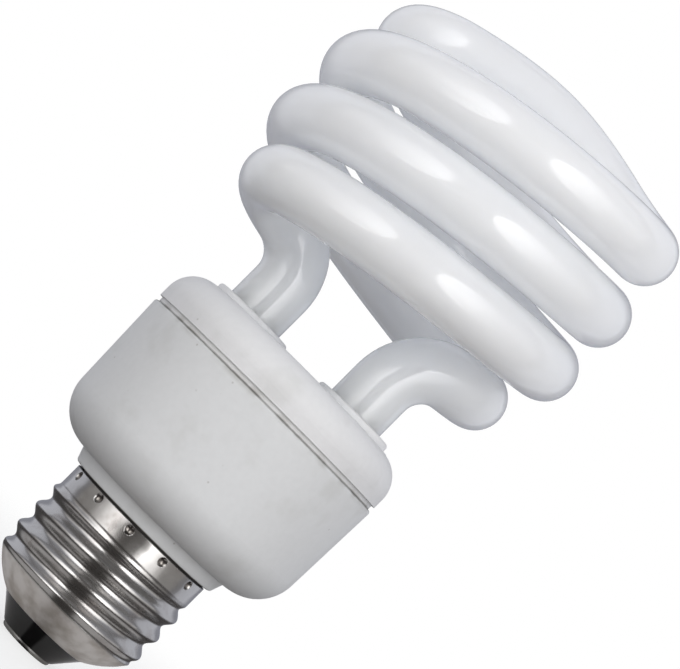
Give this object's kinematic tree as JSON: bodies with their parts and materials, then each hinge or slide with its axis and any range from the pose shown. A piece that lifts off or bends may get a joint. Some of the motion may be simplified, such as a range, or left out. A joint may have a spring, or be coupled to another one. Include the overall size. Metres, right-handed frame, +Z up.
{
  "type": "energy saving bulb",
  "caption": "Spiral compact fluorescent lamp: a coiled opal glass tube on a round plastic ballast housing with a crimped Edison screw cap.",
  "frame": {"origin": "middle of the centre contact's face, the lowest point of the cap", "axes": "+Z up the lamp's axis from the cap to the tube, +X through the tube leg on the right of the picture, -Y towards the picture's camera"},
  "size_m": [0.0594, 0.0594, 0.1114],
  "materials": {
    "nickel_plate": "rolled brass sheet, bright nickel plate",
    "black_glass": "moulded black glass, glossy",
    "contact_metal": "pressed metal with a smear of solder",
    "housing_plastic": "moulded white plastic, fine grain",
    "cover_plastic": "moulded white plastic, fine grain",
    "cement": "set cement",
    "opal_glass": "clear glass over a white inner coating, glossy",
    "board_laminate": "resin bonded paper board",
    "ferrite": "sintered ferrite",
    "bobbin_plastic": "moulded plastic",
    "copper_wire": "enamelled copper wire",
    "capacitor_sleeve": "shrunk plastic sleeve on a metal can",
    "winding_insulation": "plastic covered wire",
    "transistor_plastic": "moulded epoxy",
    "film_coating": "dipped epoxy coat",
    "resistor_lacquer": "lacquer on a ceramic rod",
    "diode_glass": "lacquered glass bead",
    "lead_insulation": "plastic covered wire",
    "tinned_wire": "tinned wire"
  },
  "bodies": {
    "root": {"screw_shell": "nickel_plate", "cap_insulator": "black_glass", "centre_contact": "contact_metal", "lower_housing": "housing_plastic", "upper_cover": "cover_plastic", "tube_cement": "cement", "spiral_tube": "opal_glass", "circuit_board": "board_laminate", "choke_core": "ferrite", "choke_bobbin": "bobbin_plastic", "choke_winding": "copper_wire", "bulk_capacitor": "capacitor_sleeve", "ring_core": "ferrite", "ring_windings": "winding_insulation", "transistor_high": "transistor_plastic", "transistor_low": "transistor_plastic", "resonant_capacitor": "film_coating", "blocking_capacitor": "film_coating", "rectifier_diodes": "transistor_plastic", "start_resistors": "resistor_lacquer", "trigger_diode": "diode_glass", "fusible_resistor": "resistor_lacquer", "neutral_lead": "lead_insulation", "wrap_pins": "tinned_wire", "filament_leads": "tinned_wire"}
  },
  "joints": []
}
